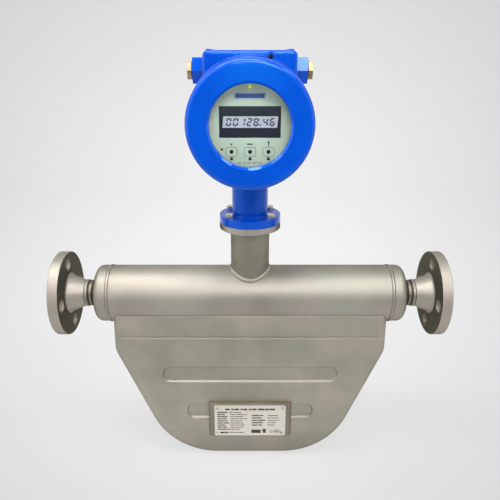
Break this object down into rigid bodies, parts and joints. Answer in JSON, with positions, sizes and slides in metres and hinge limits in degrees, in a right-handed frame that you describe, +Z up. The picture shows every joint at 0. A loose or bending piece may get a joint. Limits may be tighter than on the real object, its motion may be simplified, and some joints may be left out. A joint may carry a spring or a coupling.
{
  "type": "coriolis flow meter",
  "caption": "Twin-tube mass flow meter: welded steel case under a flanged pipe body, with a round blue display head on a neck.",
  "frame": {"origin": "centre of the inlet flange's raised face, on the pipe axis", "axes": "+X along the flow to the outlet, +Z up to the head, the display faces -Y"},
  "size_m": [0.495, 0.1583, 0.5333],
  "materials": {
    "forged_steel": "turned stainless steel, satin",
    "weld_bead": "stainless weld, brushed",
    "pipe_steel": "bead blasted stainless pipe",
    "case_steel": "pressed stainless sheet, satin",
    "inner_steel": "plain stainless",
    "magnet": "nickel plated magnet",
    "coil": "varnished winding",
    "blue_paint": "glossy powder coat on die-cast aluminium",
    "window_glass": "toughened glass",
    "seal_rubber": "black rubber",
    "retainer": "black threaded ring",
    "dial": "pale green printed dial",
    "screen": "dark liquid crystal screen",
    "key_lens": "dark infrared lens",
    "lamp": "yellow-green lamp",
    "circuit_board": "green solder mask",
    "post": "brass posts",
    "terminal": "green terminal block",
    "bright_screw": "bright stainless",
    "plug_metal": "nickel plated brass",
    "bracket_steel": "bent stainless sheet",
    "plate": "bright metal plate",
    "cable_jacket": "black cable jacket"
  },
  "bodies": {
    "meter_body": {"inlet_flange": "forged_steel", "inlet_pipe_weld": "weld_bead", "inlet_end_cap": "pipe_steel", "inlet_splitter": "pipe_steel", "inlet_brace_plate": "inner_steel", "outlet_flange": "forged_steel", "outlet_pipe_weld": "weld_bead", "outlet_end_cap": "pipe_steel", "outlet_splitter": "pipe_steel", "outlet_brace_plate": "inner_steel", "manifold_housing": "pipe_steel", "cap_welds": "weld_bead", "neck_seams": "weld_bead", "case_front_shell": "case_steel", "case_rear_shell": "case_steel", "case_seam_weld": "weld_bead", "nameplate_bracket": "bracket_steel", "nameplate": "plate", "nameplate_rivets": "bright_screw", "neck_pipe": "pipe_steel", "neck_weld": "weld_bead", "neck_flange": "forged_steel", "neck_seal": "seal_rubber", "neck_screws": "bright_screw", "wire_feedthrough": "inner_steel", "sensor_cable": "cable_jacket", "head_housing": "blue_paint", "cover_lock_screw": "bright_screw", "display_plate": "dial", "display_screen": "screen", "optical_keys": "key_lens", "status_led": "lamp", "display_board": "circuit_board", "main_board": "circuit_board", "power_board": "circuit_board", "board_posts": "post", "terminal_block": "terminal", "left_conduit_plug": "plug_metal", "right_conduit_plug": "plug_metal", "plug_seals": "seal_rubber"},
    "front_cover_ring": {"front_cover_seal": "seal_rubber"},
    "front_cover": {"front_cover": "blue_paint", "front_window": "window_glass", "window_gasket": "seal_rubber", "window_retainer": "retainer"},
    "rear_cover_ring": {"rear_cover_seal": "seal_rubber"},
    "rear_cover": {"rear_cover": "blue_paint"},
    "front_tube": {"front_flow_tube": "inner_steel", "drive_coil": "coil", "inlet_pickoff_coil": "coil", "outlet_pickoff_coil": "coil", "temperature_sensor": "coil"},
    "rear_tube": {"rear_flow_tube": "inner_steel", "drive_magnet_holder": "inner_steel", "drive_magnet": "magnet", "inlet_pickoff_magnet_holder": "inner_steel", "inlet_pickoff_magnet": "magnet", "outlet_pickoff_magnet_holder": "inner_steel", "outlet_pickoff_magnet": "magnet"}
  },
  "joints": [
    {"name": "front_cover_travel", "type": "slide", "parent": "meter_body", "child": "front_cover_ring", "axis": [0, -1, 0], "range_m": [0, 0.012]},
    {"name": "front_cover_turn", "type": "hinge", "parent": "front_cover_ring", "child": "front_cover", "pos_m": [0.2475, -0.07, 0.225], "axis": [0, -1, 0], "range_deg": [0, 2160]},
    {"name": "rear_cover_travel", "type": "slide", "parent": "meter_body", "child": "rear_cover_ring", "axis": [0, 1, 0], "range_m": [0, 0.012]},
    {"name": "rear_cover_turn", "type": "hinge", "parent": "rear_cover_ring", "child": "rear_cover", "pos_m": [0.2475, 0.055, 0.225], "axis": [0, 1, 0], "range_deg": [0, 2160]},
    {"name": "front_tube_sway", "type": "hinge", "parent": "meter_body", "child": "front_tube", "pos_m": [0.2475, -0.016, -0.0428], "axis": [1, 0, 0], "range_deg": [-0.2, 0.2], "stiffness_Nm_per_rad": 40},
    {"name": "rear_tube_sway", "type": "hinge", "parent": "meter_body", "child": "rear_tube", "pos_m": [0.2475, 0.016, -0.0428], "axis": [1, 0, 0], "range_deg": [-0.2, 0.2], "stiffness_Nm_per_rad": 40}
  ],
  "couplings": [
    {"joint": "front_cover_travel", "follows": "front_cover_turn", "m_per_rad": 0.0003183},
    {"joint": "rear_cover_travel", "follows": "rear_cover_turn", "m_per_rad": 0.0003183},
    {"joint": "rear_tube_sway", "follows": "front_tube_sway", "ratio": -1}
  ]
}
